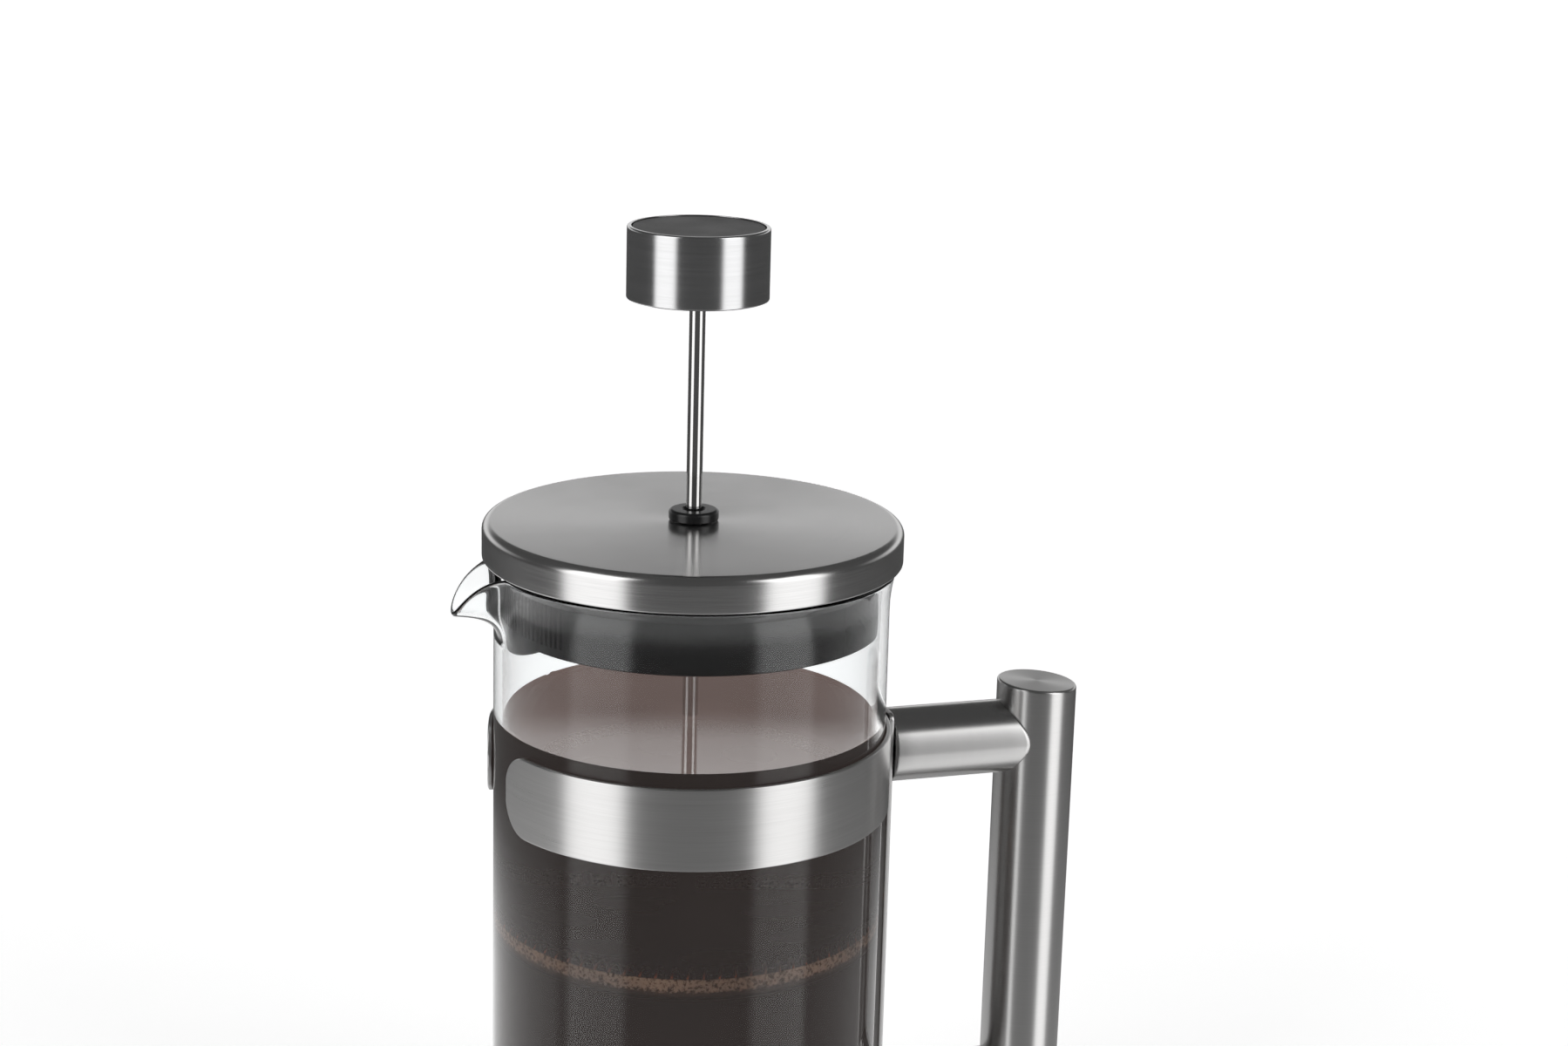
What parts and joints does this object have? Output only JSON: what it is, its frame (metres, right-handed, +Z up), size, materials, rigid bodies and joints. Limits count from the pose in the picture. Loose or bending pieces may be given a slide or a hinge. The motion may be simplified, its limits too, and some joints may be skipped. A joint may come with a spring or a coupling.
{
  "type": "french press",
  "caption": "Glass coffee press in a brushed steel frame with an upright bar handle, a domed steel lid, and a sliding plunger with a sprung mesh filter.",
  "frame": {"origin": "centre of the underside of the rest pad, on the beaker's axis, on the surface that the press stands on", "axes": "+Z up along the beaker and the plunger rod; +X towards the handle; the spout points along -X"},
  "size_m": [0.1674, 0.106, 0.2676],
  "materials": {
    "brushed_steel": "fine brushed stainless steel, grain round the hoops and along the bar",
    "lid_steel": "satin stainless steel, grain turned round the centre",
    "knob_steel": "satin stainless steel with a polished edge",
    "polished_steel": "polished stainless steel",
    "mesh_steel": "fine woven stainless steel screen",
    "clear_glass": "clear borosilicate glass",
    "dark_plastic": "smooth dark grey moulded plastic",
    "black_plastic": "semi-gloss black plastic",
    "black_rubber": "matt black rubber"
  },
  "bodies": {
    "frame": {"rest_pad": "black_rubber", "base_cup": "brushed_steel", "beaker_cushion": "black_rubber", "handle_strap": "brushed_steel", "upper_band": "brushed_steel", "upper_handle_arm": "brushed_steel", "lower_handle_arm": "brushed_steel", "handle_bar": "brushed_steel", "bar_top_cap": "brushed_steel", "bar_bottom_cap": "brushed_steel", "upper_arm_plug": "polished_steel", "lower_arm_plug": "polished_steel", "upper_handle_screw": "polished_steel", "lower_handle_screw": "polished_steel"},
    "beaker": {"glass_beaker": "clear_glass"},
    "lid_seat": {"lid_gasket": "black_rubber"},
    "lid": {"lid_cap": "lid_steel", "strainer_insert": "dark_plastic", "bush_retainer": "dark_plastic"},
    "bush": {"guide_bush": "black_plastic"},
    "plunger": {"knob_shell": "knob_steel", "knob_core": "black_plastic", "plunger_rod": "polished_steel", "filter_hub": "polished_steel", "spreader_plate": "polished_steel", "edge_spring": "polished_steel", "mesh_screen": "mesh_steel", "cross_plate": "polished_steel", "filter_nut": "polished_steel"}
  },
  "joints": [
    {"name": "beaker_lift", "type": "slide", "parent": "frame", "child": "beaker", "axis": [0, 0, 1], "range_m": [0, 0.15]},
    {"name": "lid_lift", "type": "slide", "parent": "beaker", "child": "lid_seat", "axis": [0, 0, 1], "range_m": [0, 0.16]},
    {"name": "lid_turn", "type": "hinge", "parent": "lid_seat", "child": "lid", "pos_m": [0, 0, 0.19], "axis": [0, 0, 1], "continuous": true},
    {"name": "plunger_turn", "type": "hinge", "parent": "lid", "child": "bush", "pos_m": [0, 0, 0.19], "axis": [0, 0, 1], "continuous": true},
    {"name": "plunger_slide", "type": "slide", "parent": "bush", "child": "plunger", "axis": [0, 0, 1], "range_m": [-0.051, 0.07]}
  ]
}
